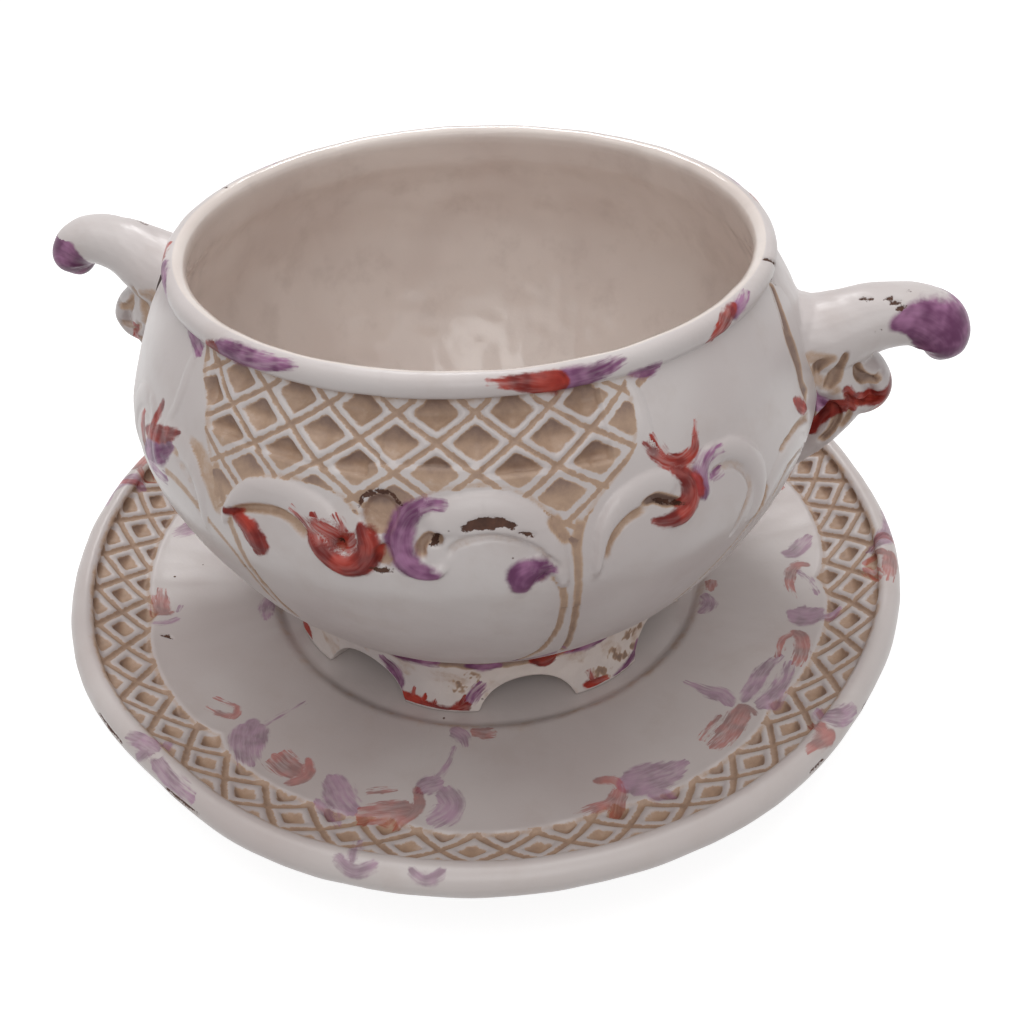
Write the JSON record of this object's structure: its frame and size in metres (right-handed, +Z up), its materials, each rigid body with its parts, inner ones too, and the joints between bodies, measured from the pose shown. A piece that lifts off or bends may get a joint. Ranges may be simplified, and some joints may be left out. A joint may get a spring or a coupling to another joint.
{
  "type": "cache pot with saucer",
  "caption": "Round glazed cache pot with a rolled lip, carved lattice band, two scroll handles and arched feet, standing in the well of a wide saucer.",
  "frame": {"origin": "centre of the table face under the saucer", "axes": "+Z up out of the pot's mouth, the two handles along X, the front panel of the carving faces -Y"},
  "size_m": [0.3066, 0.3067, 0.1482],
  "materials": {
    "saucer_glaze": "satin off-white glaze over carved earthenware, lilac and orange-red brush touches, brown stain in the lattice",
    "pot_glaze": "off-white glaze, glossy inside and satin outside, lilac and red brush touches, brown stain in the lattice and scroll grooves, a few chips",
    "foot_glaze": "off-white glaze with dark red edges and lilac flanks",
    "handle_glaze": "off-white glaze with lilac knob, red leaf edge, brown grooves and small chips"
  },
  "bodies": {
    "saucer": {"saucer": "saucer_glaze"},
    "pot": {"pot_body": "pot_glaze", "foot_ring": "foot_glaze", "handle_left": "handle_glaze", "handle_right": "handle_glaze"}
  },
  "joints": [
    {"name": "pot_lift", "type": "slide", "parent": "saucer", "child": "pot", "axis": [0, 0, 1], "range_m": [0, 0.1]}
  ]
}
